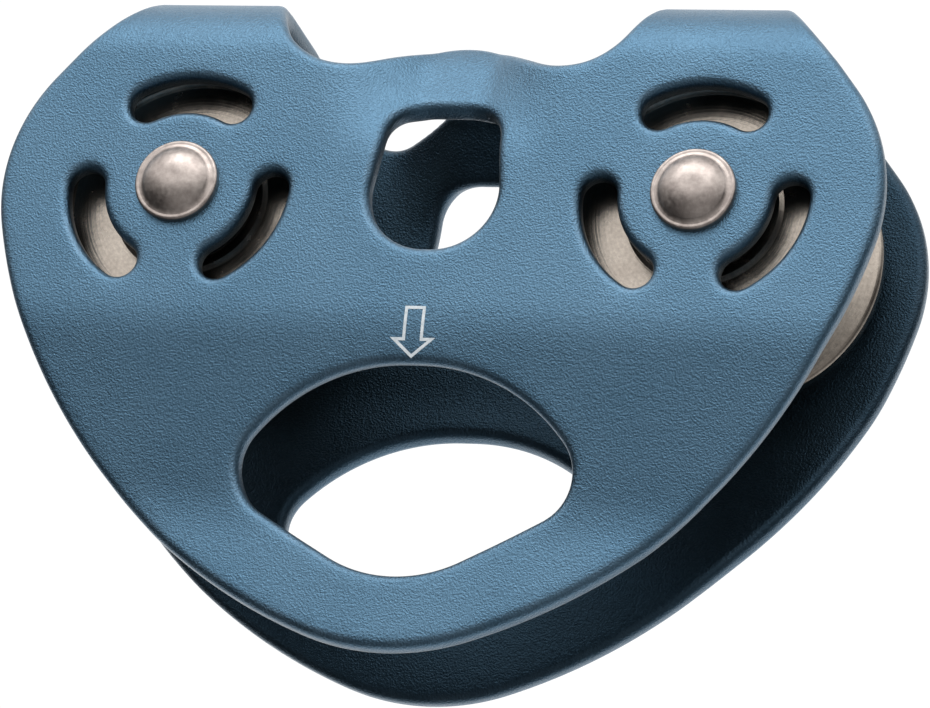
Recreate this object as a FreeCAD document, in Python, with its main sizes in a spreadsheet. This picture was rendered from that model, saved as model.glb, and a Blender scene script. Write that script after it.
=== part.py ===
import FreeCAD, Part
import math
import os

import Sketcher
from FreeCAD import Rotation, Vector

# A tandem rope pulley: one folded sheet-metal body with two grooved sheaves side by side.
# +Z is up in use, the axles lie along Y and the rope runs along X. The origin is on the centre
# line of the thickest rope that fits, midway between the two sheaves.

doc = FreeCAD.newDocument("rope_pulley")

# ---------------------------------------------------------------- driving dimensions (mm, degrees)
DIMENSIONS = {
    "axle_spacing": 63.0,        # between the two axle lines
    "axle_height": 18.2,         # axle lines above the rope's centre line
    "axle_radius": 3.98,
    "seat_gap": 0.02,            # fitted pieces of one body
    "plate_thickness": 3.0,
    "body_depth": 29.4,          # over both cheeks' outer faces
    "bend_radius": 9.6,          # outside of the fold
    "land_height": 26.5,         # top of the bridges above the axles
    "sheave_radius": 18.0,
    "sheave_width": 19.0,
    "groove_root_radius": 11.7,
    "groove_arc_radius": 6.6,
    "groove_mouth": 7.1,         # half the groove's width at the rim
    "lip_radius": 0.9,
    "face_relief": 0.5,          # dish of the sheave's side faces
    "relief_inner": 9.0,
    "relief_outer": 15.2,
    "bearing_bore_radius": 4.0,
    "bearing_radius": 8.0,
    "bearing_width": 5.0,
    "bearing_inset": 0.2,        # bearing face behind the sheave's side face
    "bearing_shoulder_radius": 7.2,
    "ball_radius": 1.19,
    "ball_pitch_radius": 6.0,
    "ball_track_radius": 1.25,
    "inner_race_radius": 5.3,
    "outer_race_bore_radius": 6.7,
    "shield_seat_radius": 6.95,
    "shield_bore_radius": 5.45,
    "shield_thickness": 0.25,
    "shield_inset": 0.1,
    "cage_inner_radius": 5.6,
    "cage_outer_radius": 6.4,
    "cage_half_width": 1.6,
    "cage_pocket_radius": 1.27,
    "race_chamfer": 0.25,
    "spacer_radius": 5.25,
    "head_radius": 5.1,
    "head_rim": 0.8,
    "dome_radius": 3.9,
    "dome_foot": 1.15,
    "dome_height": 2.35,
    "dome_flat_radius": 0.6,
    "dome_crown_radius": 5.1375,
    "head_cove_radius": 0.9,
    "head_edge_radius": 0.35,
}
BALLS_PER_BEARING = 9
GROOVE_FLANK_ANGLE = 68.0        # the groove's arc ends where it leans out this far from the radius
GROOVE_LIP = (0.45, 0.2, 0.5)    # radial start, axial start and axial end of its lip, in lip radii
HEAD_COVE_START = 1.6            # from the head's rim, in edge radii
CUT_SPARE = 1.0                  # a cutter reaches this far past what it cuts

sheet = doc.addObject("Spreadsheet::Sheet", "Sizes")
for row, (alias, value) in enumerate(DIMENSIONS.items(), start=1):
    sheet.set("A%d" % row, alias)
    sheet.set("B%d" % row, str(value))
    sheet.setAlias("B%d" % row, alias)
doc.recompute()


class Size:
    """A length with its value and the spreadsheet expression that gives it."""

    def __init__(self, value, text):
        self.value = float(value)
        self.text = text

    @staticmethod
    def of(thing):
        return thing if isinstance(thing, Size) else Size(thing, repr(float(thing)))

    def __add__(self, other):
        other = Size.of(other)
        return Size(self.value + other.value, "(%s + %s)" % (self.text, other.text))

    def __sub__(self, other):
        other = Size.of(other)
        return Size(self.value - other.value, "(%s - %s)" % (self.text, other.text))

    def __mul__(self, factor):
        return Size(self.value * factor, "(%s * %r)" % (self.text, float(factor)))


size = {alias: Size(sheet.get(alias), "Sizes." + alias) for alias in DIMENSIONS}
ZERO = Size(0.0, "0.0")
FRONT, REAR = -1, 1              # the front cheek is on the -Y side
SIDES = {"left": -1, "right": 1}


# ---------------------------------------------------------------- turned pieces
def origin_feature(body, role):
    return next(item for item in body.Origin.OriginFeatures if item.Role == role)


def pin(sketch, geometry, point, place):
    """Fixes one sketch point at (radius, axial) sizes and binds both to the spreadsheet."""
    for kind, length in zip(("DistanceX", "DistanceY"), place):
        index = sketch.addConstraint(Sketcher.Constraint(kind, geometry, point, length.value))
        sketch.setExpression("Constraints[%d]" % index, length.text)


def arc_through(start, end, radius, bulge):
    """Arc from start to end that bulges to the left (+1) or right (-1) of the way from start to end.

    A sketch's arcs run anticlockwise, so one that bulges to the left is drawn from end to start."""
    chord = end - start
    left = Vector(-chord.y, chord.x, 0).normalize()
    reach = math.sqrt(radius ** 2 - (chord.Length / 2) ** 2)
    centre = (start + end) * 0.5 - left * (bulge * reach)
    first, last = (start, end) if bulge < 0 else (end, start)
    first_angle = math.atan2(first.y - centre.y, first.x - centre.x)
    last_angle = math.atan2(last.y - centre.y, last.x - centre.x)
    return Part.ArcOfCircle(Part.Circle(centre, Vector(0, 0, 1), radius), first_angle, last_angle)


def closed_sketch(body, name, points, arcs=None):
    """Closed outline on the body's XY plane: x is the radius, y the distance along the axle.

    arcs maps the number of a side to its (radius, bulge)."""
    arcs = arcs or {}
    sketch = body.newObject("Sketcher::SketchObject", name)
    sketch.AttachmentSupport = [(origin_feature(body, "XY_Plane"), "")]
    sketch.MapMode = "FlatFace"
    places = [Vector(radius.value, axial.value, 0) for radius, axial in points]
    first_point = {}
    last_point = {}
    for number, start in enumerate(places):
        end = places[(number + 1) % len(places)]
        radius, bulge = arcs.get(number, (None, -1))
        if radius is None:
            sketch.addGeometry(Part.LineSegment(start, end))
        else:
            sketch.addGeometry(arc_through(start, end, radius.value, bulge))
        first_point[number] = 1 if bulge < 0 else 2
        last_point[number] = 3 - first_point[number]
    for number in range(len(places)):
        after = (number + 1) % len(places)
        sketch.addConstraint(Sketcher.Constraint(
            "Coincident", number, last_point[number], after, first_point[after]))
        pin(sketch, number, first_point[number], points[number])
    for number, (radius, _) in arcs.items():
        index = sketch.addConstraint(Sketcher.Constraint("Radius", number, radius.value))
        sketch.setExpression("Constraints[%d]" % index, radius.text)
    return sketch


def place_on_axle(piece, side):
    """Moves a piece that is built about its own Y axis onto the left or right axle line."""
    half_spacing = size["axle_spacing"] * (0.5 * SIDES[side])
    piece.Placement = FreeCAD.Placement(Vector(half_spacing.value, 0, size["axle_height"].value), Rotation())
    piece.setExpression("Placement.Base.x", half_spacing.text)
    piece.setExpression("Placement.Base.z", size["axle_height"].text)


def turned(name, side, points, arcs=None):
    """A body turned about the axle line from one closed half section."""
    body = doc.addObject("PartDesign::Body", name)
    body.Label = name
    sketch = closed_sketch(body, name + "_section", points, arcs)
    turn = body.newObject("PartDesign::Revolution", name + "_turning")
    turn.Profile = sketch
    turn.ReferenceAxis = (sketch, ["V_Axis"])
    turn.Angle = 360.0
    body.Tip = turn
    place_on_axle(body, side)
    return body


def tube(name, side, inner, outer, start, end):
    corners = [(inner, start), (outer, start), (outer, end), (inner, end)]
    return turned(name, side, corners)


def make_axle(side):
    """Rivet: a plain shank with a rimmed, domed head formed on each end."""
    face = size["body_depth"] * 0.5
    rim_top = face + size["head_rim"]
    rim_edge = size["head_radius"] - size["head_edge_radius"]
    rim_turn = rim_top - size["head_edge_radius"]
    dome_foot = face + size["dome_foot"]
    cove_end = size["head_radius"] - size["head_edge_radius"] * HEAD_COVE_START
    top = face + size["dome_height"]
    half = [
        (size["axle_radius"], face),
        (size["head_radius"], face),
        (size["head_radius"], rim_turn),
        (rim_edge, rim_top),
        (cove_end, rim_top),
        (size["dome_radius"], dome_foot),
        (size["dome_flat_radius"], top),
        (ZERO, top),
    ]
    arcs = {2: (size["head_edge_radius"], -1), 4: (size["head_cove_radius"], 1),
            5: (size["dome_crown_radius"], -1)}
    mirrored = [(radius, axial * -1) for radius, axial in reversed(half)]
    points = half + mirrored
    count = len(points)
    for number, (radius, bulge) in list(arcs.items()):
        arcs[count - 2 - number] = (radius, bulge)
    return turned(side + "_axle", side, points, arcs)


def make_sheave(side):
    """Grooved wheel with a bearing seat in each face and a shoulder between them."""
    half_width = size["sheave_width"] * 0.5
    lip = size["lip_radius"]
    rim = size["sheave_radius"]
    groove_centre = size["groove_root_radius"] + size["groove_arc_radius"]
    seat_radius = size["bearing_radius"] + size["seat_gap"]
    shoulder = half_width - size["bearing_inset"] - size["bearing_width"]
    mouth = size["groove_mouth"]
    flank_angle = math.radians(GROOVE_FLANK_ANGLE)
    lip_sink, lip_start, lip_end = (lip * share for share in GROOVE_LIP)
    arc_axial = size["groove_arc_radius"] * math.sin(flank_angle)
    arc_radial = groove_centre - size["groove_arc_radius"] * math.cos(flank_angle)
    relief_face = half_width - size["face_relief"]
    half = [
        (arc_radial, arc_axial),
        (rim - lip_sink, mouth - lip_start),
        (rim, mouth + lip_end),
        (rim, half_width - lip),
        (rim - lip, half_width),
        (size["relief_outer"], half_width),
        (size["relief_outer"] - size["face_relief"], relief_face),
        (size["relief_inner"] + size["face_relief"], relief_face),
        (size["relief_inner"], half_width),
        (seat_radius, half_width),
        (seat_radius, shoulder),
        (size["bearing_shoulder_radius"], shoulder),
    ]
    mirrored = [(radius, axial * -1) for radius, axial in reversed(half)]
    points = half + mirrored
    count = len(points)
    arcs = {1: (lip, -1), 3: (lip, -1)}
    for number, (radius, bulge) in list(arcs.items()):
        arcs[count - 2 - number] = (radius, bulge)
    arcs[count - 1] = (size["groove_arc_radius"], 1)
    return turned(side + "_sheave", side, points, arcs)


def race_section(inner, outer, ball_side, near, far):
    """Half section of a bearing ring with a ball track on its inner or outer surface."""
    middle = (near + far) * 0.5
    chamfer = size["race_chamfer"]
    surface = inner if ball_side == "inner" else outer
    depth = size["ball_pitch_radius"].value - surface.value
    reach = math.sqrt(size["ball_track_radius"].value ** 2 - depth ** 2)
    track_near = middle - reach
    track_far = middle + reach
    if ball_side == "inner":
        points = [
            (inner, near), (outer - chamfer, near), (outer, near + chamfer), (outer, far - chamfer),
            (outer - chamfer, far), (inner, far), (inner, track_far), (inner, track_near),
        ]
        return points, {6: (size["ball_track_radius"], 1)}
    points = [
        (inner + chamfer, near), (outer, near), (outer, track_near), (outer, track_far),
        (outer, far), (inner + chamfer, far), (inner, far - chamfer), (inner, near + chamfer),
    ]
    return points, {2: (size["ball_track_radius"], 1)}


def make_outer_race(name, side, near, far):
    """Outer ring: chamfered outside, ball track inside and a step at each end for a shield."""
    inner = size["outer_race_bore_radius"]
    seat = size["shield_seat_radius"]
    step = size["shield_inset"] + size["shield_thickness"]
    points, arcs = race_section(inner, size["bearing_radius"], "inner", near, far)
    stepped = [(seat, near)] + points[1:5] + [
        (seat, far), (seat, far - step), (inner, far - step)] + points[6:] + [
        (inner, near + step), (seat, near + step)]
    return turned(name, side, stepped, {8: arcs[6]})


def make_inner_race(name, side, near, far):
    points, arcs = race_section(size["bearing_bore_radius"], size["inner_race_radius"], "outer", near, far)
    return turned(name, side, points, arcs)


def make_cage(name, side, middle):
    """Thin ring between the races with a round pocket for each ball."""
    body = tube(name, side, size["cage_inner_radius"], size["cage_outer_radius"],
                middle - size["cage_half_width"], middle + size["cage_half_width"])
    sketch = body.newObject("Sketcher::SketchObject", name + "_pocket_outline")
    sketch.AttachmentSupport = [(origin_feature(body, "XY_Plane"), "")]
    sketch.MapMode = "FlatFace"
    pocket_radius = size["cage_pocket_radius"]
    sketch.addGeometry(Part.Circle(Vector(0, middle.value, 0), Vector(0, 0, 1), pocket_radius.value))
    pin(sketch, 0, 3, (ZERO, middle))
    index = sketch.addConstraint(Sketcher.Constraint("Radius", 0, pocket_radius.value))
    sketch.setExpression("Constraints[%d]" % index, pocket_radius.text)
    doc.recompute()
    uncut = body.Shape.Volume
    pocket = body.newObject("PartDesign::Pocket", name + "_pocket")
    pocket.Profile = sketch
    pocket.Type = "Length"
    reach = size["cage_outer_radius"] + CUT_SPARE
    pocket.Length = reach.value
    pocket.setExpression("Length", reach.text)
    pocket.Reversed = True
    body.Tip = pocket
    doc.recompute()
    if body.Shape.Volume > uncut - 0.1:
        raise RuntimeError(name + ": the pocket cut nothing")
    pattern = body.newObject("PartDesign::PolarPattern", name + "_pockets")
    pattern.Originals = [pocket]
    pattern.Axis = (origin_feature(body, "Y_Axis"), [""])
    pattern.Angle = 360.0
    pattern.Occurrences = BALLS_PER_BEARING
    body.Tip = pattern
    return body


def make_balls(name, side, middle):
    """The balls of one bearing: separate spheres on the pitch circle, grouped in one node."""
    balls = []
    for number in range(BALLS_PER_BEARING):
        angle = math.radians(90.0 + 360.0 * number / BALLS_PER_BEARING)
        ball = doc.addObject("Part::Sphere", "%s_%d" % (name, number + 1))
        ball.setExpression("Radius", size["ball_radius"].text)
        across = size["ball_pitch_radius"] * math.cos(angle)
        above = size["ball_pitch_radius"] * math.sin(angle)
        ball.setExpression("Placement.Base.x", across.text)
        ball.setExpression("Placement.Base.y", middle.text)
        ball.setExpression("Placement.Base.z", above.text)
        balls.append(ball)
    group = doc.addObject("Part::Compound", name)
    group.Label = name
    group.Links = balls
    place_on_axle(group, side)
    return group


def make_bearing(side, end):
    """One shielded ball bearing; end is FRONT or REAR."""
    prefix = "%s_%s_bearing_" % (side, "front" if end == FRONT else "rear")
    outer_face = size["sheave_width"] * 0.5 - size["bearing_inset"]
    near = outer_face * end
    far = (outer_face - size["bearing_width"]) * end
    if end == REAR:
        near, far = far, near
    middle = (near + far) * 0.5
    pieces = [
        make_outer_race(prefix + "outer_race", side, near, far),
        make_inner_race(prefix + "inner_race", side, near, far),
        make_balls(prefix + "balls", side, middle),
        make_cage(prefix + "cage", side, middle),
    ]
    shield_radius = size["shield_seat_radius"] - size["seat_gap"]
    for word, face, inward in (("first", near, 1), ("second", far, -1)):
        start = face + size["shield_inset"] * inward
        stop = start + size["shield_thickness"] * inward
        outside = (face.value < 0) == (inward > 0)
        label = "outer_shield" if outside and abs(face.value) > abs(middle.value) else "inner_shield"
        low, high = (start, stop) if inward > 0 else (stop, start)
        pieces.append(tube(prefix + label, side, size["shield_bore_radius"], shield_radius, low, high))
    return pieces


def make_spacers(side):
    """Bushes on the axle: cheek to front race, race to race, and rear race to cheek."""
    cheek = size["body_depth"] * 0.5 - size["plate_thickness"] - size["seat_gap"]
    race_face = size["sheave_width"] * 0.5 - size["bearing_inset"] + size["seat_gap"]
    race_back = size["sheave_width"] * 0.5 - size["bearing_inset"] - size["bearing_width"] - size["seat_gap"]
    bore = size["bearing_bore_radius"]
    outer = size["spacer_radius"]
    return [
        tube(side + "_front_spacer", side, bore, outer, cheek * -1, race_face * -1),
        tube(side + "_middle_spacer", side, bore, outer, race_back * -1, race_back),
        tube(side + "_rear_spacer", side, bore, outer, race_face, cheek),
    ]


# ---------------------------------------------------------------- folded body plate
# Its profile and outlines are in the axle frame: Z = 0 on the axle lines, X = 0 midway.
PINCH = {                        # how far each cheek leans in below the sheaves
    "start": -17.0,              # height where it begins
    "waist": -39.5,              # height of the narrowest gap
    "depth": 4.3,                # inward shift there
    "lip_depth": 3.4,            # inward shift at the lower edge, which flares out again
    "bend": 26.0,                # radius of the soft bends
}
OUTLINE = {
    "lobe_radius": 22.3,        # round the axles
    "lobe_end_angle": 14.1,      # below the horizontal, where the flank takes over
    "flank_radius": 70.0,
    "lowest": -55.7,
    "shoulder_angle": 38.0,      # above the horizontal, where the straight shoulder starts
    "land_inner": 23.4,          # bridges' flat tops, from the middle
    "saddle_dip": (17.35, 12.6, 8.0),     # across, height, rounding radius
    "saddle_crown": (0.0, 23.0, 9.9),
}
# right-hand corners of each eye: across, height, rounding radius
TOP_EYE = [(6.45, 11.4, 5.0), (8.85, -7.6, 7.4)]
CARABINER_EYE = [(11.4, -21.8, 23.0), (23.4, -35.8, 6.0)]
CARABINER_EYE_FOOT = (0.0, -49.1, 16.2)
SLOT = {"radius": 11.49, "half_width": 2.19, "half_angle": 28.0, "directions": (90.0, 210.0, 330.0)}
CHANNEL = {                      # pressed into the middle of each cheek above the top eye
    "half_width": 15.3,
    "floor_half_width": 3.4,
    "outer_soft": 0.45,          # shares of a flank taken by its outer and inner bends
    "inner_soft": 0.18,
    "start": 3.0,
    "start_soft": 4.0,
    "depth": 5.2,                # at the height of the saddle's edge
    "depth_height": 18.5,
    "patch_foot": -10.0,         # the computed surface takes in the whole top eye
    "patch_top": 22.0,
}
CLEAR_OF_TOP = 4.0
CUT_REACH = 60.0                 # longer than the body in every direction from its middle
EDGE_ROUNDING = 1.0
SHARP_ANGLE = 35.0               # faces that meet at more than this make a sharp edge
GRID_STEP = 1.0                  # between the computed points of the channel's surface


def rounded_corner(before, corner, after, radius):
    """Where the rounding of a corner starts, its middle point and where it ends."""
    arriving = (corner - before).normalize()
    leaving = (after - corner).normalize()
    turn = arriving.getAngle(leaving)
    setback = radius * math.tan(turn / 2)
    inward = (leaving - arriving).normalize()
    crown = corner + inward * (radius / math.cos(turn / 2) - radius)
    return corner - arriving * setback, crown, corner + leaving * setback


def join(cursor, place):
    """A straight edge, or none where the two places meet."""
    if cursor.distanceToPoint(place) < 1e-6:
        return []
    return [Part.LineSegment(cursor, place).toShape()]


def rounded_path(points):
    """Edges of an open path: straight runs joined by tangent arcs.

    Each point is (position, radius); the first and last are the path's ends."""
    edges = []
    cursor = points[0][0]
    for (before, _), (corner, radius), (after, _) in zip(points, points[1:], points[2:]):
        start, crown, stop = rounded_corner(before, corner, after, radius)
        edges += join(cursor, start)
        edges.append(Part.Arc(start, crown, stop).toShape())
        cursor = stop
    return edges + join(cursor, points[-1][0])


def rounded_loop(corners):
    """Closed wire through (position, radius) corners, all of them rounded."""
    start, first = corners[0][0], corners[1][0]
    middle = (start + first) * 0.5
    path = [(middle, 0)] + corners[1:] + [corners[0], (middle, 0)]
    return Part.Wire(Part.__sortEdges__(rounded_path(path)))


def fold_side(inset):
    """One skin of the folded sheet in the YZ plane, inset from the outer skin."""
    half = size["body_depth"].value / 2 - inset
    top = size["land_height"].value - inset
    bend = size["bend_radius"].value - inset
    foot = OUTLINE["lowest"] - CUT_SPARE
    rear = [
        (half, top, bend),
        (half, PINCH["start"], PINCH["bend"]),
        (half - PINCH["depth"], PINCH["waist"], PINCH["bend"]),
        (half - PINCH["lip_depth"], foot, 0),
    ]
    front = [(-across, height, radius) for across, height, radius in reversed(rear)]
    return [(Vector(0, across, height), radius) for across, height, radius in front + rear]


def folded_sheet():
    """The whole sheet's section, drawn out along X."""
    outer = fold_side(0.0)
    inner = fold_side(size["plate_thickness"].value)
    edges = rounded_path(outer)
    edges.append(Part.LineSegment(outer[-1][0], inner[-1][0]).toShape())
    edges += rounded_path(inner)
    edges.append(Part.LineSegment(inner[0][0], outer[0][0]).toShape())
    section = Part.Face(Part.Wire(Part.__sortEdges__(edges)))
    section.translate(Vector(-CUT_REACH, 0, 0))
    return section.extrude(Vector(2 * CUT_REACH, 0, 0))


def soft_ramp(place, soft):
    """0 below 0, then a parabola over the soft length, then a straight rise of 1 in 1."""
    place = max(place, 0.0)
    return place ** 2 / (2.0 * soft) if place < soft else place - soft / 2.0


def channel_depth(across, height):
    """How far the channel presses the sheet in: nothing at its sides and foot, deepest at the top."""
    reach = CHANNEL["half_width"] - CHANNEL["floor_half_width"]
    side = (CHANNEL["half_width"] - abs(across)) / reach
    outer, inner = CHANNEL["outer_soft"], CHANNEL["inner_soft"]
    flank = soft_ramp(side, outer) - soft_ramp(side - 1.0 + inner, inner)
    flank /= 1.0 - (outer + inner) / 2.0
    rise = soft_ramp(height - CHANNEL["start"], CHANNEL["start_soft"])
    full_rise = soft_ramp(CHANNEL["depth_height"] - CHANNEL["start"], CHANNEL["start_soft"])
    return CHANNEL["depth"] * flank * rise / full_rise


def channel_sheet(facing):
    """The pressed part of one cheek, between the channel's sides, foot and top."""
    columns = int(round(2 * CHANNEL["half_width"] / GRID_STEP))
    foot, top = CHANNEL["patch_foot"], CHANNEL["patch_top"]
    rows = int(round((top - foot) / GRID_STEP))
    half = size["body_depth"].value / 2
    grid = []
    for column in range(columns + 1):
        across = -CHANNEL["half_width"] + column * 2 * CHANNEL["half_width"] / columns
        line = []
        for row in range(rows + 1):
            height = foot + row * (top - foot) / rows
            line.append(Vector(across, facing * (half - channel_depth(across, height)), height))
        grid.append(line)
    skin = Part.BSplineSurface()
    skin.interpolate(grid)
    return skin.toShape().extrude(Vector(0, -facing * size["plate_thickness"].value, 0))


def at(across, height):
    return Vector(across, 0, height)


def mirrored(place):
    return at(-place.x, place.z)


def both_sides(right):
    """The right-hand corners of an outline and their mirror images, in order round it."""
    corners = [(at(across, height), radius) for across, height, radius in right]
    return corners, [(mirrored(place), radius) for place, radius in reversed(corners)]


def body_outline():
    """Heart-shaped outline of the sheet, seen along the axles."""
    axle = at(size["axle_spacing"].value / 2, 0)
    lobe = OUTLINE["lobe_radius"]
    shoulder = math.radians(OUTLINE["shoulder_angle"])
    shoulder_start = axle + at(math.cos(shoulder), math.sin(shoulder)) * lobe
    shoulder_run = at(-math.sin(shoulder), math.cos(shoulder))
    # both ends of each bridge run on above the sheet, so that the cut clears its top
    dip = at(*OUTLINE["saddle_dip"][:2])
    land_edge = at(OUTLINE["land_inner"], size["land_height"].value)
    above = size["land_height"].value + CLEAR_OF_TOP
    inner_top = dip + (land_edge - dip) * ((above - dip.z) / (land_edge.z - dip.z))
    outer_top = shoulder_start + shoulder_run * ((above - shoulder_start.z) / shoulder_run.z)
    right, left = both_sides([
        OUTLINE["saddle_dip"], (inner_top.x, above, 1.0), (outer_top.x, above, 1.0)])
    crown = (at(*OUTLINE["saddle_crown"][:2]), OUTLINE["saddle_crown"][2])
    ends = (mirrored(shoulder_start), 0), (shoulder_start, 0)
    edges = rounded_path([ends[0]] + left + [crown] + right + [ends[1]])

    # lobe, flank and foot are three arcs, each tangent to the next
    turn = math.radians(-OUTLINE["lobe_end_angle"])
    lobe_end_way = at(math.cos(turn), math.sin(turn))
    flank_centre = axle + lobe_end_way * (lobe - OUTLINE["flank_radius"])
    rise = flank_centre.z - OUTLINE["lowest"]
    foot_radius = (OUTLINE["flank_radius"] ** 2 - flank_centre.x ** 2 - rise ** 2) / (
        2 * (OUTLINE["flank_radius"] - rise))
    foot_centre = at(0, OUTLINE["lowest"] + foot_radius)
    foot_way = (foot_centre - flank_centre).normalize()
    lobe_end = axle + lobe_end_way * lobe
    flank_end = foot_centre + foot_way * foot_radius
    flank_middle = flank_centre + (lobe_end_way + foot_way).normalize() * OUTLINE["flank_radius"]
    for side in (Vector, mirrored):
        edges.append(Part.Arc(side(shoulder_start), side(axle + at(lobe, 0)), side(lobe_end)).toShape())
        edges.append(Part.Arc(side(lobe_end), side(flank_middle), side(flank_end)).toShape())
    edges.append(Part.Arc(flank_end, at(0, OUTLINE["lowest"]), mirrored(flank_end)).toShape())
    return Part.Wire(Part.__sortEdges__(edges))


def prism(wire):
    """Solid through both cheeks from a closed outline in the XZ plane."""
    face = Part.Face(wire)
    face.translate(Vector(0, -CUT_REACH, 0))
    return face.extrude(Vector(0, 2 * CUT_REACH, 0))


def top_eye():
    right, left = both_sides(TOP_EYE)
    return prism(rounded_loop(right + left))


def carabiner_eye():
    right, left = both_sides(CARABINER_EYE)
    foot = (at(*CARABINER_EYE_FOOT[:2]), CARABINER_EYE_FOOT[2])
    return prism(rounded_loop(right + [foot] + left))


def arc_slot(centre, direction):
    """Round-ended slot that follows a circle about the axle."""
    def around(radius, degrees):
        angle = math.radians(degrees)
        return centre + at(math.cos(angle), math.sin(angle)) * radius

    low = direction - SLOT["half_angle"]
    high = direction + SLOT["half_angle"]
    inside = SLOT["radius"] - SLOT["half_width"]
    outside = SLOT["radius"] + SLOT["half_width"]
    cap = math.degrees(SLOT["half_width"] / SLOT["radius"])
    edges = [
        Part.Arc(around(outside, low), around(outside, direction), around(outside, high)).toShape(),
        Part.Arc(around(outside, high), around(SLOT["radius"], high + cap), around(inside, high)).toShape(),
        Part.Arc(around(inside, high), around(inside, direction), around(inside, low)).toShape(),
        Part.Arc(around(inside, low), around(SLOT["radius"], low - cap), around(outside, low)).toShape(),
    ]
    return prism(Part.Wire(Part.__sortEdges__(edges)))


def axle_openings(side):
    """The axle's hole and the three slots round it, through both cheeks."""
    centre = at(SIDES[side] * size["axle_spacing"].value / 2, 0)
    bore = Part.makeCylinder(size["bearing_bore_radius"].value, 2 * CUT_REACH,
                             centre - Vector(0, CUT_REACH, 0), Vector(0, 1, 0))
    return [bore] + [arc_slot(centre, direction) for direction in SLOT["directions"]]


def face_normal(face, place):
    return face.normalAt(*face.Surface.parameter(place))


def rim_edges(plate):
    """The sheared edges of the plate: all but those of the axle holes and of the gap in the saddle."""
    half_spacing = size["axle_spacing"].value / 2
    rims = []
    for edge in plate.Edges:
        faces = plate.ancestorsOfType(edge, Part.Face)
        if len(faces) != 2:
            continue
        middle = edge.valueAt((edge.FirstParameter + edge.LastParameter) / 2)
        angle = face_normal(faces[0], middle).getAngle(face_normal(faces[1], middle))
        from_axle = math.hypot(abs(middle.x) - half_spacing, middle.z)
        on_bore = abs(from_axle - size["bearing_bore_radius"].value) < size["seat_gap"].value
        box = edge.BoundBox
        reach = max(-box.XMin, box.XMax)
        in_saddle = box.ZMin > OUTLINE["saddle_dip"][1] and reach < OUTLINE["land_inner"] + 0.1
        if math.degrees(angle) > SHARP_ANGLE and not on_bore and not in_saddle:
            rims.append(edge)
    return rims


def make_body_plate():
    sheet_solid = folded_sheet()
    window = Part.makeBox(2 * CHANNEL["half_width"], 2 * CUT_REACH, CUT_REACH,
                          Vector(-CHANNEL["half_width"], -CUT_REACH, CHANNEL["patch_foot"]))
    pressed = sheet_solid.cut(window).fuse([channel_sheet(FRONT), channel_sheet(REAR)])
    plate = pressed.common(prism(body_outline()))
    openings = [top_eye(), carabiner_eye()] + axle_openings("left") + axle_openings("right")
    plate = plate.cut(openings).removeSplitter()
    if len(plate.Solids) != 1:
        raise RuntimeError("body_plate is in %d pieces" % len(plate.Solids))
    plate = plate.Solids[0]
    plate = plate.makeFillet(EDGE_ROUNDING, rim_edges(plate))
    feature = doc.addObject("Part::Feature", "body_plate")
    feature.Label = "body_plate"
    feature.Shape = plate.Solids[0]
    feature.Placement = FreeCAD.Placement(Vector(0, 0, size["axle_height"].value), Rotation())
    return feature


# ---------------------------------------------------------------- build, check and write
pieces = [make_body_plate()]
for side in SIDES:
    pieces += [make_axle(side), make_sheave(side)] + make_spacers(side)
    pieces += make_bearing(side, FRONT) + make_bearing(side, REAR)
doc.recompute()

for item in doc.Objects:
    if "Invalid" in item.State or "Error" in item.State:
        raise RuntimeError("%s did not recompute: %s" % (item.Label, item.State))
for piece in pieces:
    if piece.Shape.isNull() or not piece.Shape.isValid():
        raise RuntimeError("%s has no valid shape" % piece.Label)

os.makedirs("parts", exist_ok=True)
for piece in pieces:
    piece.Shape.exportStep("parts/%s.step" % piece.Label)
    print("%-36s %9.2f mm3" % (piece.Label, piece.Shape.Volume))
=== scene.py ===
import math

import bpy
import numpy as np
from mathutils import Matrix, Vector
from mathutils.geometry import delaunay_2d_cdt


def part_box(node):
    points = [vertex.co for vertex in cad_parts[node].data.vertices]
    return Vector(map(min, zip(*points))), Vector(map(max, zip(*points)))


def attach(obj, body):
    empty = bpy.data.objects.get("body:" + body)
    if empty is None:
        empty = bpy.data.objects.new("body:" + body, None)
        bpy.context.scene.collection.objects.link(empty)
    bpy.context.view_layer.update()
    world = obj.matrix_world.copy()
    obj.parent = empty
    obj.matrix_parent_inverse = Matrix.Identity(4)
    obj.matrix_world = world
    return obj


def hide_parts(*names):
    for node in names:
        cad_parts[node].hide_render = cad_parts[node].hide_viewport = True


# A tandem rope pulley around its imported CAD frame. The folded body plate is rebuilt here as a
# finer sheet with every rim rounded, and the front cheek gets a printed load arrow. The other
# pieces keep their CAD shape and get materials.

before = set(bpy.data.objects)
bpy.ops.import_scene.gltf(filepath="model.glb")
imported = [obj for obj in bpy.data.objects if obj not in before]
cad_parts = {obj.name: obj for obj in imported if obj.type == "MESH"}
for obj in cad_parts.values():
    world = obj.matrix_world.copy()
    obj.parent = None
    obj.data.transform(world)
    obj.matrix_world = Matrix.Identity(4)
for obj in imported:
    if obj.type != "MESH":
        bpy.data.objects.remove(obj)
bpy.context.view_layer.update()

MM = 0.001
LOW, HIGH = (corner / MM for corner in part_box("body_plate"))
LEFT_LOW, LEFT_HIGH = (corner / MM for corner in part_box("left_axle"))
AXLE_X = -(LEFT_LOW.x + LEFT_HIGH.x) / 2
AXLE_Z = (LEFT_LOW.z + LEFT_HIGH.z) / 2
HALF_DEPTH = HIGH.y                  # from the middle to a cheek's outer face
TOP = HIGH.z - AXLE_Z                # heights below are from the axle lines, in mm
FOOT = LOW.z - AXLE_Z


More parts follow.
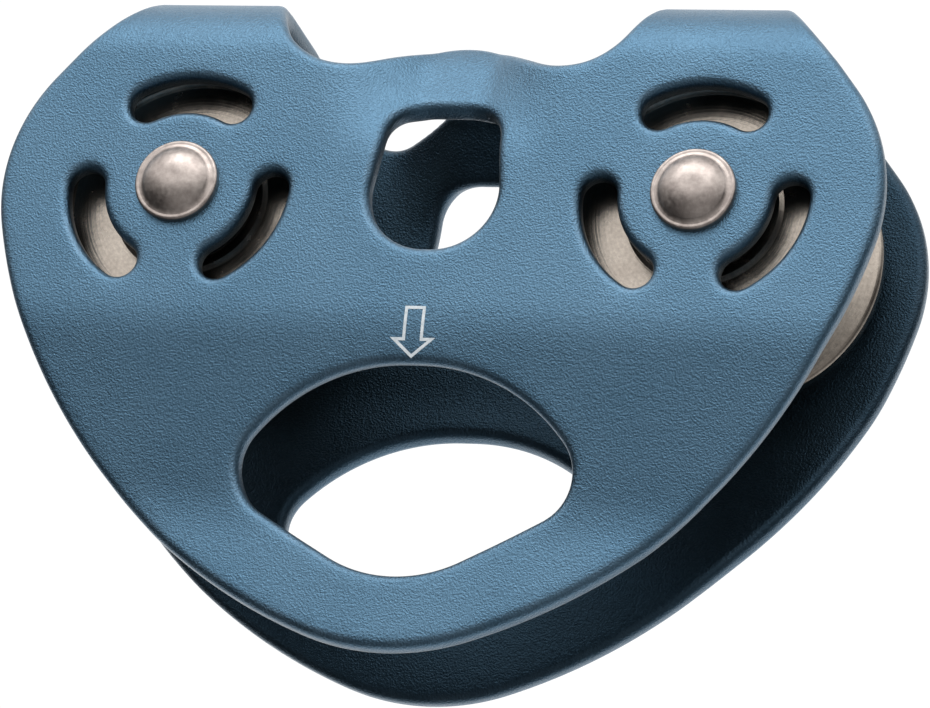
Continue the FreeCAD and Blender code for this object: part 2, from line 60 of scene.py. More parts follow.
# ---------------------------------------------------------------- shape of the folded sheet (mm)
THICKNESS = 3.0
RIM = 1.1                            # rounding of every rim
BEND = 9.6                           # outside radius of the fold
PINCH_START = -17.0                  # height where each cheek starts to lean in
WAIST = -39.5                        # height of the narrowest gap
WAIST_DEPTH = 4.3                    # inward shift there
LIP_DEPTH = 3.4                      # inward shift at the lower edge, which flares out again
PINCH_BEND = 26.0                    # radius of the soft bends
BELOW_FOOT = 1.0                     # the section runs on this far past the lower edge
LOBE = 22.3                          # outline's radius round the axles
LOBE_END = math.radians(-14.1)       # where the flank takes over from the lobe
SHOULDER = math.radians(38.0)        # where the straight shoulder starts
FLANK = 70.0                         # outline's radius along the flanks
LAND_INNER = 23.4                    # bridges' inner sides, from the middle
SADDLE_DIP = (17.35, 12.6, 8.0)      # corners are across, height and rounding radius
SADDLE_CROWN = (0.0, 23.0, 9.9)
TOP_EYE = [(6.45, 11.4, 5.0), (8.85, -7.6, 7.4)]
CARABINER_EYE = [(11.4, -21.8, 23.0), (23.4, -35.8, 6.0)]
CARABINER_EYE_FOOT = (0.0, -49.1, 16.2)
SLOT_RADIUS = 11.49                  # from the axle to a slot's middle line
SLOT_HALF_WIDTH = 2.19
SLOT_HALF_ANGLE = math.radians(28.0)
SLOT_DIRECTIONS = [math.radians(angle) for angle in (90, 210, 330)]
BORE = 4.0                           # radius of the axle's hole
CHANNEL_HALF_WIDTH = 15.3
CHANNEL_FLOOR = 3.4                  # half width of its floor
CHANNEL_SOFT = (0.45, 0.12)          # shares of a flank taken by its outer and inner bends
CHANNEL_START = 3.0                  # height of its foot
CHANNEL_START_SOFT = 4.0
CHANNEL_DEPTH = 5.2
CHANNEL_DEPTH_HEIGHT = 18.5          # height at which it is that deep

LOOP_STEP = 0.5                      # between the points of a rim
SKIN_STEP = 1.0                      # between the points inside a skin
ROW_STEP = SKIN_STEP * 0.866         # between their rows, for even triangles
RIM_GAP = 0.6 * SKIN_STEP            # at least this far from a rim's own points
SECTION_STEP = 0.1                   # between the points of the fold's section
TANGENT_STEP = 0.05                  # for the skin's slope
RIM_STEPS = 5                        # across each quarter round
SIDES = (-1, 1)                      # left and right, or front and rear


def rounded_corner(before, corner, after, radius):
    """Points along the arc that rounds a corner."""
    arriving = (corner - before) / np.linalg.norm(corner - before)
    leaving = (after - corner) / np.linalg.norm(after - corner)
    turn = math.acos(np.clip(arriving @ leaving, -1, 1))
    setback = radius * math.tan(turn / 2)
    inward = (leaving - arriving) / np.linalg.norm(leaving - arriving)
    centre = corner + inward * radius / math.cos(turn / 2)
    start = corner - arriving * setback
    angles = np.linspace(0, turn, max(3, int(turn * radius / LOOP_STEP) + 2))
    out = (start - centre) / radius
    return [centre + radius * (out * math.cos(a) + arriving * math.sin(a)) for a in angles]


def rounded_path(points):
    """Open path through (across, height, radius) points, each inner one rounded by its radius."""
    places = [np.array(point[:2]) for point in points]
    path = [places[0]]
    for number in range(1, len(points) - 1):
        path += rounded_corner(places[number - 1], places[number], places[number + 1], points[number][2])
    path.append(places[-1])
    return spaced(np.array(path), LOOP_STEP)


def spaced(path, step):
    """The same path with even spacing."""
    gaps = np.linalg.norm(np.diff(path, axis=0), axis=1)
    keep = np.concatenate([[True], gaps > 1e-9])
    path = path[keep]
    along = np.concatenate([[0], np.cumsum(np.linalg.norm(np.diff(path, axis=0), axis=1))])
    count = max(2, int(round(along[-1] / step)) + 1)
    places = np.linspace(0, along[-1], count)
    return np.stack([np.interp(places, along, path[:, axis]) for axis in (0, 1)], axis=1)


def arc(centre, radius, start, end):
    count = max(3, int(abs(end - start) * radius / LOOP_STEP) + 1)
    angles = np.linspace(start, end, count)
    return np.stack([centre[0] + radius * np.cos(angles), centre[1] + radius * np.sin(angles)], axis=1)


def loop_of(right, foot=None):
    """Closed loop from its right-hand corners, their mirror images and a foot in the middle, if any."""
    left = [(-across, height, radius) for across, height, radius in reversed(right)]
    corners = right + ([foot] if foot else []) + left
    middle = ((corners[0][0] + corners[-1][0]) / 2, corners[0][1], 0)
    return rounded_path([middle] + corners + [middle])[:-1]


def right_outline():
    """From the foot up the right flank and lobe to the top of the shoulder."""
    axle = np.array([AXLE_X, 0.0])
    flank_centre = axle + (LOBE - FLANK) * np.array([math.cos(LOBE_END), math.sin(LOBE_END)])
    rise = flank_centre[1] - FOOT
    foot_radius = (FLANK ** 2 - flank_centre[0] ** 2 - rise ** 2) / (2 * (FLANK - rise))
    foot_centre = np.array([0.0, FOOT + foot_radius])
    way = foot_centre - flank_centre
    flank_angle = math.atan2(way[1], way[0])
    shoulder = axle + LOBE * np.array([math.cos(SHOULDER), math.sin(SHOULDER)])
    run = np.array([-math.sin(SHOULDER), math.cos(SHOULDER)])
    shoulder_top = shoulder + run * (TOP - shoulder[1]) / run[1]
    pieces = [
        arc(foot_centre, foot_radius, -math.pi / 2, flank_angle),
        arc(flank_centre, FLANK, flank_angle, LOBE_END),
        arc(axle, LOBE, LOBE_END, SHOULDER),
        np.array([shoulder, shoulder_top]),
    ]
    return spaced(np.concatenate(pieces), LOOP_STEP)


def right_saddle():
    """From the saddle's middle down into the dip and up the right bridge's inner side."""
    whole = rounded_path([
        (-SADDLE_DIP[0], SADDLE_DIP[1], 0), SADDLE_CROWN, SADDLE_DIP, (LAND_INNER, TOP, 0)])
    half = whole[whole[:, 0] > 0]
    crown_top = SADDLE_CROWN[1] - SADDLE_CROWN[2] * (1 / math.cos(math.atan2(
        SADDLE_CROWN[1] - SADDLE_DIP[1], SADDLE_DIP[0])) - 1)
    return spaced(np.concatenate([[[0.0, crown_top]], half]), LOOP_STEP)


def slot(side, direction):
    """Round-ended slot that follows a circle about one axle."""
    centre = np.array([side * AXLE_X, 0.0])
    low, high = direction - SLOT_HALF_ANGLE, direction + SLOT_HALF_ANGLE
    low_end = centre + SLOT_RADIUS * np.array([math.cos(low), math.sin(low)])
    high_end = centre + SLOT_RADIUS * np.array([math.cos(high), math.sin(high)])
    pieces = [
        arc(centre, SLOT_RADIUS + SLOT_HALF_WIDTH, low, high),
        arc(high_end, SLOT_HALF_WIDTH, high, high + math.pi)[1:],
        arc(centre, SLOT_RADIUS - SLOT_HALF_WIDTH, high, low)[1:],
        arc(low_end, SLOT_HALF_WIDTH, low + math.pi, low + 2 * math.pi)[1:],
    ]
    return spaced(np.concatenate(pieces), LOOP_STEP)[:-1]


def section():
    """Half of the fold's outer line, from the top middle down the rear cheek: distance along, Y and Z."""
    waist = HALF_DEPTH - WAIST_DEPTH
    path = rounded_path([
        (0.0, TOP, 0), (HALF_DEPTH, TOP, BEND), (HALF_DEPTH, PINCH_START, PINCH_BEND),
        (waist, WAIST, PINCH_BEND), (HALF_DEPTH - LIP_DEPTH, FOOT - BELOW_FOOT, 0)])
    path = spaced(path, SECTION_STEP)
    along = np.concatenate([[0], np.cumsum(np.linalg.norm(np.diff(path, axis=0), axis=1))])
    return along, path[:, 0], path[:, 1]


ALONG, SECTION_Y, SECTION_Z = section()
FLAT_END = HALF_DEPTH - BEND         # where the top flat turns into the bend


def unfolded(heights):
    """Distance along the section at each height of a cheek."""
    start = np.searchsorted(-SECTION_Z, -TOP + 1e-6)
    return np.interp(-np.asarray(heights), -SECTION_Z[start:], ALONG[start:])


def soft_ramp(place, soft):
    """0 below 0, then a parabola over the soft length, then a straight rise of 1 in 1."""
    place = np.maximum(place, 0.0)
    return np.where(place < soft, place ** 2 / (2.0 * soft), place - soft / 2.0)


def channel(across, height):
    """How far the channel over the top eye is pressed in."""
    side = (CHANNEL_HALF_WIDTH - np.abs(across)) / (CHANNEL_HALF_WIDTH - CHANNEL_FLOOR)
    outer, inner = CHANNEL_SOFT
    flank = soft_ramp(side, outer) - soft_ramp(side - 1.0 + inner, inner)
    flank /= 1.0 - (outer + inner) / 2.0
    full = soft_ramp(CHANNEL_DEPTH_HEIGHT - CHANNEL_START, CHANNEL_START_SOFT)
    return CHANNEL_DEPTH * flank * soft_ramp(height - CHANNEL_START, CHANNEL_START_SOFT) / full


def skin(flat):
    """Outer surface of the sheet at unfolded places (across, distance along from the top middle)."""
    along = np.abs(flat[:, 1])
    facing = np.where(flat[:, 1] < 0, -1.0, 1.0)
    height = np.interp(along, ALONG, SECTION_Z)
    out = np.interp(along, ALONG, SECTION_Y) - channel(flat[:, 0], height)
    return np.stack([flat[:, 0], facing * out, height], axis=1)


def sheet_points(flat, depth):
    """Places inside the sheet, depth below its outer surface."""
    across = skin(flat + [TANGENT_STEP, 0]) - skin(flat - [TANGENT_STEP, 0])
    along = skin(flat + [0, TANGENT_STEP]) - skin(flat - [0, TANGENT_STEP])
    normal = np.cross(across, along)
    normal /= np.linalg.norm(normal, axis=1, keepdims=True)
    return skin(flat) - normal * np.reshape(depth, (-1, 1))


def crossing(across):
    """Straight run over the top of a bridge, from the front cheek to the rear one."""
    return spaced(np.array([[across, -FLAT_END], [across, FLAT_END]]), LOOP_STEP)[1:-1]


def all_round(right, edge):
    """Closed unfolded loop from a right-hand outline that ends on a bridge whose side is at edge."""
    front = np.stack([right[:, 0], -unfolded(right[:, 1])], axis=1)
    rear = front[::-1] * [1, -1]
    half = np.concatenate([front, crossing(edge), rear])
    return np.concatenate([half[:-1], (half * [-1, -1])[:-1]])


def sheet_loops():
    """The outer loop first, then every hole, unfolded."""
    outline = right_outline()
    loops = [all_round(outline, outline[-1, 0]), all_round(right_saddle(), LAND_INNER)]
    holes = [loop_of(TOP_EYE), loop_of(CARABINER_EYE, CARABINER_EYE_FOOT)]
    for side in SIDES:
        holes.append(spaced(arc((side * AXLE_X, 0.0), BORE, 0, 2 * math.pi), LOOP_STEP)[:-1])
        holes += [slot(side, direction) for direction in SLOT_DIRECTIONS]
    for hole in holes:
        for facing in SIDES:
            loops.append(np.stack([hole[:, 0], facing * unfolded(hole[:, 1])], axis=1))
    return loops


def signed_area(loop):
    after = np.roll(loop, -1, axis=0)
    return 0.5 * np.sum(loop[:, 0] * after[:, 1] - after[:, 0] * loop[:, 1])


def material_way(loop, is_hole):
    """At each point of a loop, the unit direction into the sheet."""
    run = np.roll(loop, -1, axis=0) - np.roll(loop, 1, axis=0)
    run /= np.linalg.norm(run, axis=1, keepdims=True)
    left = np.stack([-run[:, 1], run[:, 0]], axis=1)
    inward = left if signed_area(loop) > 0 else -left
    return -inward if is_hole else inward


def inside(points, loop):
    """Which points lie within a loop, by counting crossings."""
    result = np.zeros(len(points), bool)
    after = np.roll(loop, -1, axis=0)
    for (x0, y0), (x1, y1) in zip(loop, after):
        if y0 == y1:
            continue
        spans = (points[:, 1] > min(y0, y1)) & (points[:, 1] <= max(y0, y1))
        cut = x0 + (points[:, 1] - y0) * (x1 - x0) / (y1 - y0)
        result ^= spans & (points[:, 0] < cut)
    return result


def in_sheet(points, loops):
    kept = inside(points, loops[0])
    for loop in loops[1:]:
        kept &= ~inside(points, loop)
    return kept


def skin_mesh(loops):
    """Even triangles that fill the loops: 2D points, whose first ones are the loops' own, and faces."""
    outer = loops[0]
    rows = np.arange(outer[:, 1].min(), outer[:, 1].max(), ROW_STEP)
    columns = np.arange(outer[:, 0].min(), outer[:, 0].max(), SKIN_STEP)
    grid = np.array([(column + (number % 2) * SKIN_STEP / 2, row)
                     for number, row in enumerate(rows) for column in columns])
    grid = grid[in_sheet(grid, loops)]
    rim_points = np.concatenate(loops)
    nearest = np.array([np.min(np.sum((rim_points - point) ** 2, axis=1)) for point in grid])
    grid = grid[nearest > RIM_GAP ** 2]
    points = np.concatenate([rim_points, grid])
    edges = []
    first = 0
    for loop in loops:
        count = len(loop)
        edges += [(first + number, first + (number + 1) % count) for number in range(count)]
        first += count
    corners = [Vector(point) for point in points]
    places, _, faces, source, _, _ = delaunay_2d_cdt(corners, edges, [], 0, 1e-7)
    if len(places) != len(points):
        raise RuntimeError("the skin's triangulation moved or merged points")
    order = [indices[0] for indices in source]
    faces = np.array([[order[corner] for corner in face] for face in faces])
    centres = points[faces].mean(axis=1)
    return points, faces[in_sheet(centres, loops)]


def rim_profile():
    """(inset, depth) pairs across the rim, from the outer skin to the inner one."""
    angles = np.linspace(0, math.pi / 2, RIM_STEPS + 1)
    outer = [(RIM * (1 - math.sin(angle)), RIM * (1 - math.cos(angle))) for angle in angles]
    inner = [(inset, THICKNESS - depth) for inset, depth in reversed(outer)]
    return outer + inner


def new_object(name, places, faces):
    """Mesh object in the scene, from places in mm about the axle lines' height."""
    raised = places + [0.0, 0.0, AXLE_Z]
    mesh = bpy.data.meshes.new(name)
    mesh.from_pydata((raised * MM).tolist(), [], faces)
    made = bpy.data.objects.new(name, mesh)
    bpy.context.scene.collection.objects.link(made)
    return made


def build_plate():
    """The sheet: an outer and an inner skin, joined round every loop by a rounded rim.

    Two values go with each point: edge_wear is highest halfway round each rounding, and inside
    goes from 0 on the outer skin to 1 on the inner one."""
    loops = sheet_loops()
    ways = [material_way(loop, number > 0) for number, loop in enumerate(loops)]
    inset_loops = [loop + way * RIM for loop, way in zip(loops, ways)]
    flat, triangles = skin_mesh(inset_loops)
    count = len(flat)
    vertices = [sheet_points(flat, np.zeros(count)), sheet_points(flat, np.full(count, THICKNESS))]
    faces = triangles.tolist() + (triangles[:, ::-1] + count).tolist()
    profile = rim_profile()
    total = 2 * count
    first = 0
    edge_wear = [np.zeros(2 * count)]
    inside_share = [np.zeros(count), np.ones(count)]
    for loop, way in zip(loops, ways):
        length = len(loop)
        rows = [np.arange(first, first + length)]
        for inset, depth in profile[1:-1]:
            vertices.append(sheet_points(loop + way * inset, np.full(length, depth)))
            edge_wear.append(np.full(length, 1.0 - abs(2 * inset / RIM - 1.0)))
            inside_share.append(np.full(length, depth / THICKNESS))
            rows.append(np.arange(total, total + length))
            total += length
        rows.append(np.arange(first, first + length) + count)
        for upper, lower in zip(rows, rows[1:]):
            quads = np.stack([upper, np.roll(upper, -1), np.roll(lower, -1), lower], axis=1)
            faces += quads.tolist()
        first += length
    plate = new_object("folded_plate", np.concatenate(vertices), faces)
    mesh = plate.data
    mesh.validate()
    # inside drives the painted shade that darkens the inner skin in the body's material
    for name, values in (("edge_wear", edge_wear), ("inside", inside_share)):
        attribute = mesh.attributes.new(name, "FLOAT", "POINT")
        attribute.data.foreach_set("value", np.concatenate(values).astype(np.float32))
    mesh.shade_smooth()
    bpy.context.view_layer.objects.active = plate
    bpy.ops.object.mode_set(mode="EDIT")
    bpy.ops.mesh.select_all(action="SELECT")
    bpy.ops.mesh.normals_make_consistent(inside=False)
    bpy.ops.object.mode_set(mode="OBJECT")
    return plate


# ---------------------------------------------------------------- printed load arrow
ARROW_TOP = -15.1
ARROW_NECK = -18.9
ARROW_TIP = -21.3
ARROW_SHAFT = 1.25                   # half widths of its shaft and head
ARROW_HEAD = 2.75
ARROW_LINE = 0.36                    # width of the printed line
SIDE_POINTS = 12                     # along each of its straight sides
PRINT_TOP = -0.02                    # depths of the print's faces below the sheet's surface
PRINT_UNDERSIDE = 0.1


def arrow_outline(grow):
    """The plain arrow's outline, grown outwards by a little: x and height, from the shaft's top left."""
    slope = (ARROW_NECK - ARROW_TIP) / ARROW_HEAD
    tip_grow = grow * math.sqrt(1 + slope ** 2)
    head = ARROW_HEAD + grow * (1 + math.sqrt(1 + slope ** 2)) / slope
    shaft = ARROW_SHAFT + grow
    half = [(shaft, ARROW_TOP + grow), (shaft, ARROW_NECK + grow), (head, ARROW_NECK + grow)]
    tip = [(0.0, ARROW_TIP - tip_grow)]
    corners = [(-x, z) for x, z in half] + tip + half[::-1]
    points = []
    for start, end in zip(corners, corners[1:] + corners[:1]):
        for part in np.linspace(0, 1, SIDE_POINTS, endpoint=False):
            points.append(np.array(start) * (1 - part) + np.array(end) * part)
    return np.array(points)


def build_arrow():
    """The arrow's line as a thin closed band: four rings of points with faces between them."""
    band = [
        (0, PRINT_TOP), (-ARROW_LINE, PRINT_TOP),
        (-ARROW_LINE, PRINT_UNDERSIDE), (0, PRINT_UNDERSIDE)]
    rings = []
    for grow, depth in band:
        outline = arrow_outline(grow)
        flat = np.stack([outline[:, 0], -unfolded(outline[:, 1])], axis=1)
        rings.append(sheet_points(flat, np.full(len(flat), depth)))
    count = len(rings[0])
    faces = []
    for ring in range(len(rings)):
        following = (ring + 1) % len(rings)
        for corner in range(count):
            after = (corner + 1) % count
            faces.append((ring * count + corner, following * count + corner,
                          following * count + after, ring * count + after))
    return new_object("load_arrow", np.concatenate(rings), faces)


# ---------------------------------------------------------------- materials
NOISE_LOW, NOISE_HIGH = 0.3, 0.7     # most of a noise texture's values lie between these


def srgb(*levels):
    """Linear colour from 0-255 screen levels."""
    colour = []
    for level in levels:
        value = level / 255
        colour.append(value / 12.92 if value <= 0.04045 else ((value + 0.055) / 1.055) ** 2.4)
    return colour + [1.0]


def add(tree, kind, inputs=None, **settings):
    """A shader node, its settings, and its inputs as values or as other nodes' outputs."""
    node = tree.nodes.new("ShaderNode" + kind)
    for key, value in settings.items():
        setattr(node, key, value)
    for key, value in (inputs or {}).items():
        if isinstance(value, bpy.types.NodeSocket):
            tree.links.new(value, node.inputs[key])
        else:
            node.inputs[key].default_value = value
    return node


def maths(tree, operation, first, second=0.0):
    return add(tree, "Math", {0: first, 1: second}, operation=operation).outputs[0]


def scaled(tree, colour, factor):
    """A colour or vector times a factor."""
    return add(tree, "VectorMath", {0: colour, "Scale": factor}, operation="SCALE").outputs[0]


def noise(tree, place, scale, detail=2.0, roughness=0.5):
    inputs = {"Vector": place, "Scale": scale, "Detail": detail, "Roughness": roughness}
    return add(tree, "TexNoise", inputs).outputs["Fac"]


def spread_noise(tree, place, scale, detail=2.0, roughness=0.5):
    """Noise whose usual range, NOISE_LOW to NOISE_HIGH, is spread from 0 to 1."""
    return ramp(tree, noise(tree, place, scale, detail, roughness), NOISE_LOW, NOISE_HIGH)


def ramp(tree, factor, low, high):
    """Factor spread from low..high to 0..1."""
    return add(tree, "MapRange", {"Value": factor, "From Min": low, "From Max": high}).outputs["Result"]


def between(tree, factor, low, high):
    """Value from low to high as factor goes from 0 to 1."""
    return add(tree, "MapRange", {"Value": factor, "To Min": low, "To Max": high}).outputs["Result"]


def mix_colours(tree, factor, first, second):
    node = tree.nodes.new("ShaderNodeMix")
    node.data_type = "RGBA"
    for socket, value in ((node.inputs[0], factor), (node.inputs[6], first), (node.inputs[7], second)):
        if isinstance(value, bpy.types.NodeSocket):
            tree.links.new(value, socket)
        else:
            socket.default_value = value
    return node.outputs[2]


def about_axle(tree, place):
    """The radius from the nearer axle line and the place along it, the same all the way round it."""
    axes = add(tree, "SeparateXYZ", {0: place})
    across = maths(tree, "SUBTRACT", maths(tree, "ABSOLUTE", axes.outputs["X"]), AXLE_X * MM)
    rise = maths(tree, "SUBTRACT", axes.outputs["Z"], AXLE_Z * MM)
    across_squared = maths(tree, "MULTIPLY", across, across)
    rise_squared = maths(tree, "MULTIPLY", rise, rise)
    radius = maths(tree, "SQRT", maths(tree, "ADD", across_squared, rise_squared))
    return add(tree, "CombineXYZ", {"X": radius, "Y": axes.outputs["Y"]}).outputs[0]


def plate_value(tree, name):
    """One of the values that build_plate gives to the plate's points."""
    return add(tree, "Attribute", attribute_name=name, attribute_type="GEOMETRY").outputs["Fac"]


INSIDE_SHADE = 0.26                  # painted shade: the inner skin between the cheeks keeps only this share of its colour
GRAIN_SHADE = (0.86, 1.12)           # shares of the colour in the pits and on the tops of the grain
TURNED_SHADE = (0.9, 1.08)           # and of the turning marks
WEAR_SCALE = 180.0                   # of the patches where a rim is worn
WEAR_RANGE = (0.35, 0.75)


def new_material(name):
    material = bpy.data.materials.new(name)
    material.use_nodes = True
    material.node_tree.nodes.clear()
    return material, material.node_tree


def metal(name, dark, light, roughness, grain, grain_height, mottle,
          turned=0.0, turned_height=0.0, worn=None, worn_amount=0.0, dents=0.0):
    """Metal with a mottled colour and a fine grain, and optionally dents, turning marks or paler worn rims;
    worn rims come with painted shade that darkens the inner skin.

    grain, mottle and turned are noise scales; the heights and dents are in metres."""
    material, tree = new_material(name)
    place = add(tree, "TexCoord").outputs["Object"]
    colour = mix_colours(tree, spread_noise(tree, place, mottle, 5.0, 0.6), srgb(*dark), srgb(*light))
    fine = noise(tree, place, grain, 2.0, 0.6)
    colour = scaled(tree, colour, between(tree, ramp(tree, fine, NOISE_LOW, NOISE_HIGH), *GRAIN_SHADE))
    rough = between(tree, spread_noise(tree, place, mottle * 4, 3.0), *roughness)
    height = maths(tree, "MULTIPLY", fine, grain_height)
    if dents:
        height = maths(tree, "ADD", height, maths(tree, "MULTIPLY", noise(tree, place, grain / 4), dents))
    if turned:
        marks = noise(tree, about_axle(tree, place), turned, 3.0, 0.7)
        height = maths(tree, "ADD", height, maths(tree, "MULTIPLY", marks, turned_height))
        shade = between(tree, ramp(tree, marks, NOISE_LOW, NOISE_HIGH), *TURNED_SHADE)
        colour = scaled(tree, colour, shade)
    if worn:
        patchy = ramp(tree, noise(tree, place, WEAR_SCALE, 4.0, 0.65), *WEAR_RANGE)
        edge = maths(tree, "MULTIPLY", plate_value(tree, "edge_wear"), patchy)
        colour = mix_colours(tree, maths(tree, "MULTIPLY", edge, worn_amount), colour, srgb(*worn))
        # painted shade: the colour darkens towards the inner skin, down to INSIDE_SHADE of it
        colour = scaled(tree, colour, between(tree, plate_value(tree, "inside"), 1.0, INSIDE_SHADE))
    bump = add(tree, "Bump", {"Height": height, "Distance": 1.0, "Strength": 1.0})
    shader = add(tree, "BsdfPrincipled", {
        "Base Color": colour, "Metallic": 1.0, "Roughness": rough, "Normal": bump.outputs["Normal"]})
    add(tree, "OutputMaterial", {"Surface": shader.outputs[0]})
    return material


METALS = {
    "anodised_body": dict(dark=(76, 105, 126), light=(84, 113, 134), roughness=(0.33, 0.4), grain=4000.0,
                          grain_height=0.00012, mottle=60.0, worn=(140, 162, 180), worn_amount=0.3),
    "rivet_steel": dict(dark=(146, 136, 131), light=(176, 166, 160), roughness=(0.3, 0.45), grain=1500.0,
                        grain_height=0.00001, mottle=500.0, dents=0.00006),
    "sheave_metal": dict(dark=(146, 137, 128), light=(180, 171, 160), roughness=(0.2, 0.28), grain=2000.0,
                         grain_height=0.000006, mottle=120.0, turned=3000.0, turned_height=0.00002),
    "spacer_steel": dict(dark=(150, 148, 145), light=(175, 172, 168), roughness=(0.3, 0.4), grain=2000.0,
                         grain_height=0.000006, mottle=300.0, turned=2500.0, turned_height=0.00001),
    "bearing_steel": dict(dark=(165, 165, 165), light=(190, 190, 188), roughness=(0.18, 0.26), grain=2500.0,
                          grain_height=0.000003, mottle=300.0, turned=4000.0, turned_height=0.000006),
    "ball_steel": dict(dark=(190, 190, 192), light=(205, 205, 206), roughness=(0.08, 0.14), grain=2500.0,
                       grain_height=0.000001, mottle=400.0),
    "cage_brass": dict(dark=(165, 128, 70), light=(190, 150, 88), roughness=(0.3, 0.42), grain=1800.0,
                       grain_height=0.00001, mottle=300.0),
    "shield_steel": dict(dark=(140, 140, 140), light=(165, 164, 162), roughness=(0.25, 0.35), grain=2200.0,
                         grain_height=0.000004, mottle=300.0, turned=3500.0, turned_height=0.000008),
}
MATERIALS = {name: metal(name, **looks) for name, looks in METALS.items()}


PRINT_PATCHES = 1500.0               # noise scales of the print
PRINT_PATCH_RANGE = (0.35, 0.65)
PRINT_GRAIN = 2600.0
PRINT_GRAIN_HEIGHT = 0.00003


def print_paint():
    """Matt white print, slightly patchy and grained."""
    material, tree = new_material("white_print")
    place = add(tree, "TexCoord").outputs["Object"]
    patchy = ramp(tree, noise(tree, place, PRINT_PATCHES, 4.0, 0.7), *PRINT_PATCH_RANGE)
    colour = mix_colours(tree, patchy, srgb(196, 206, 212), srgb(226, 232, 236))
    rough = between(tree, patchy, 0.55, 0.75)
    height = maths(tree, "MULTIPLY", noise(tree, place, PRINT_GRAIN), PRINT_GRAIN_HEIGHT)
    bump = add(tree, "Bump", {"Height": height, "Distance": 1.0})
    shader = add(tree, "BsdfPrincipled", {
        "Base Color": colour, "Roughness": rough, "Normal": bump.outputs["Normal"]})
    add(tree, "OutputMaterial", {"Surface": shader.outputs[0]})
    return material


plate = build_plate()
plate.data.materials.append(MATERIALS["anodised_body"])
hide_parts("body_plate")
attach(plate, "frame")

arrow = build_arrow()
arrow.data.materials.append(print_paint())
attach(arrow, "frame")

SMOOTH_ANGLE = math.radians(32)
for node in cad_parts.values():
    node.data.shade_smooth()
    node.data.set_sharp_from_angle(angle=SMOOTH_ANGLE)
    for holder in node.material_slots:
        holder.material = MATERIALS[holder.material.name.split(".")[0]]


# ---------------------------------------------------------------- camera, floor and light
AZIMUTH, ELEVATION, ROLL = (math.radians(angle) for angle in (17.3615, -20.437, 7.6826))
DISTANCE = 0.7002                    # from the target, in m
TARGET = Vector((6.7028, -HALF_DEPTH, -2.7286)) * MM
LENS = 234.8
SENSOR = 36.0
CLIP_START = 0.01
FLOOR_HEIGHT = -0.40
FLOOR_REACH = 12.0


def add_camera():
    level_back = Vector((math.sin(AZIMUTH), -math.cos(AZIMUTH), 0)) * math.cos(ELEVATION)
    back = level_back + Vector((0, 0, math.sin(ELEVATION)))
    level = (-back).cross(Vector((0, 0, 1))).normalized()
    upright = level.cross(-back)
    right = level * math.cos(ROLL) + upright * math.sin(ROLL)
    up = upright * math.cos(ROLL) - level * math.sin(ROLL)
    camera = bpy.data.objects.new("camera", bpy.data.cameras.new("camera"))
    camera.data.lens = LENS
    camera.data.sensor_width = SENSOR
    camera.data.clip_start = CLIP_START
    matrix = Matrix((right, up, back)).transposed().to_4x4()
    matrix.translation = TARGET + back * DISTANCE
    camera.matrix_world = matrix
    bpy.context.scene.collection.objects.link(camera)
    bpy.context.scene.camera = camera


def add_floor():
    """Pale floor, seen from above only, so that views from underneath stay open."""
    ways = ((-1, -1), (1, -1), (1, 1), (-1, 1))
    corners = [(x * FLOOR_REACH, y * FLOOR_REACH, FLOOR_HEIGHT) for x, y in ways]
    mesh = bpy.data.meshes.new("floor")
    mesh.from_pydata(corners, [], [(0, 1, 2, 3)])
    floor = bpy.data.objects.new("floor", mesh)
    bpy.context.scene.collection.objects.link(floor)
    material, tree = new_material("floor")
    seen = add(tree, "BsdfDiffuse", {"Color": (0.86, 0.87, 0.88, 1.0)})
    below = add(tree, "BsdfTransparent")
    side = add(tree, "NewGeometry").outputs["Backfacing"]
    both = add(tree, "MixShader", {0: side, 1: seen.outputs[0], 2: below.outputs[0]})
    add(tree, "OutputMaterial", {"Surface": both.outputs[0]})
    mesh.materials.append(material)
    floor.visible_glossy = False
    floor.visible_diffuse = False


SOFTBOX_WAY = (-0.02, -0.35, 0.92)   # towards the middle of the big soft light
SOFTBOX_LEVELS = ((0.0, 0.06), (0.58, 0.06), (0.68, 0.3), (0.77, 1.5),
                  (0.82, 1.7), (0.9, 1.2), (1.0, 0.9))
BACK_WAY = (0.0, 0.97, -0.25)        # a weaker one lights the far side
BACK_LEVELS = ((0.0, 0.0), (0.6, 0.02), (0.75, 0.6), (0.86, 1.3), (1.0, 1.6))
LOW_WAY = (0.35, -0.8, -0.5)         # and a faint one lights it from the front and below
LOW_LEVELS = ((0.0, 0.0), (0.75, 0.0), (0.92, 0.3), (1.0, 0.42))
BACKDROP = 1.05                      # just past white


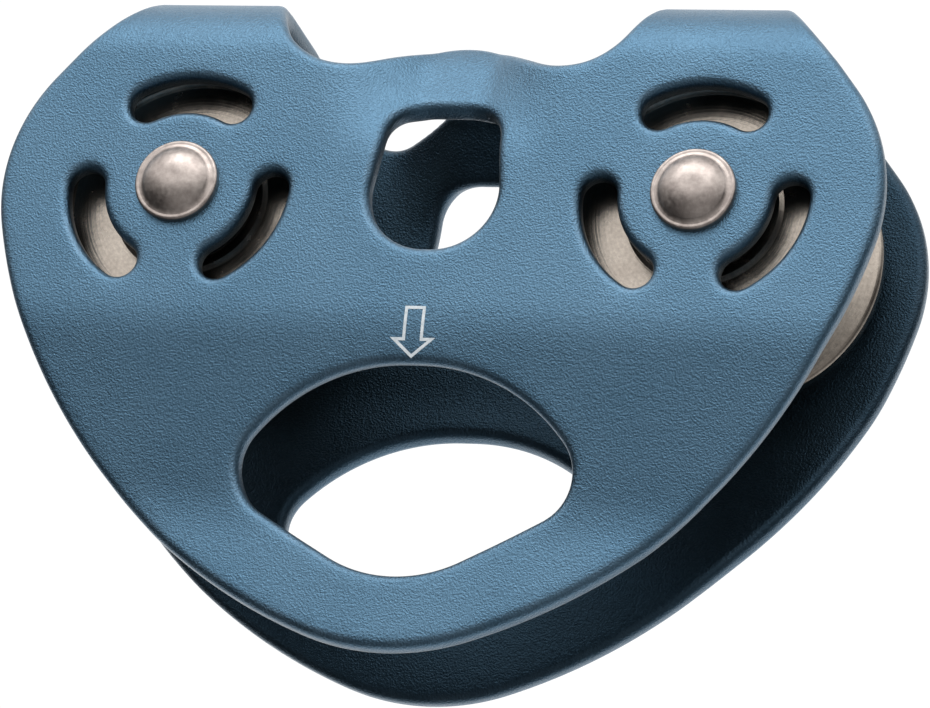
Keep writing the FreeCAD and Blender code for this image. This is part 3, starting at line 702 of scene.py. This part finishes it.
def glow(tree, direction, way, levels):
    """Light that depends on the angle from its middle, as levels at (1 + cosine) / 2."""
    inputs = {0: direction, 1: Vector(way).normalized()}
    cosine = add(tree, "VectorMath", inputs, operation="DOT_PRODUCT").outputs["Value"]
    curve = add(tree, "ValToRGB", {0: ramp(tree, cosine, -1.0, 1.0)})
    stops = curve.color_ramp.elements
    while len(stops) > 1:
        stops.remove(stops[-1])
    for number, (position, level) in enumerate(levels):
        stop = stops[0] if number == 0 else stops.new(position)
        stop.position = position
        stop.color = (level, level, level, 1.0)
    return curve.outputs["Color"]


def add_world():
    """White behind the object; the room that it reflects has one big soft light and is dark elsewhere."""
    world = bpy.data.worlds.new("studio")
    bpy.context.scene.world = world
    world.use_nodes = True
    tree = world.node_tree
    tree.nodes.clear()
    direction = add(tree, "TexCoord").outputs["Generated"]
    room = (0.0, 0.0, 0.0)
    for way, levels in ((SOFTBOX_WAY, SOFTBOX_LEVELS), (BACK_WAY, BACK_LEVELS), (LOW_WAY, LOW_LEVELS)):
        light = glow(tree, direction, way, levels)
        room = add(tree, "VectorMath", {0: room, 1: light}, operation="ADD").outputs[0]
    seen = add(tree, "Background", {"Color": (1, 1, 1, 1), "Strength": BACKDROP})
    felt = add(tree, "Background", {"Color": room, "Strength": 1.0})
    camera_ray = add(tree, "LightPath").outputs["Is Camera Ray"]
    both = add(tree, "MixShader", {0: camera_ray, 1: felt.outputs[0], 2: seen.outputs[0]})
    add(tree, "OutputWorld", {"Surface": both.outputs[0]})


KEY_WAY = Vector((-0.05, -0.6, 0.85))
KEY_DISTANCE = 0.35
KEY_SIZE = (0.35, 0.2)
KEY_POWER = 0.7


def add_key_light():
    """Area lamp above the front, turned towards the origin."""
    light = bpy.data.lights.new("key", "AREA")
    light.shape = "RECTANGLE"
    light.size, light.size_y = KEY_SIZE
    light.energy = KEY_POWER
    lamp = bpy.data.objects.new("key", light)
    lamp.location = KEY_WAY.normalized() * KEY_DISTANCE
    lamp.rotation_mode = "QUATERNION"
    lamp.rotation_quaternion = lamp.location.to_track_quat("Z", "Y")
    bpy.context.scene.collection.objects.link(lamp)


add_camera()
add_floor()
add_world()
add_key_light()
bpy.context.scene.view_settings.view_transform = "Standard"
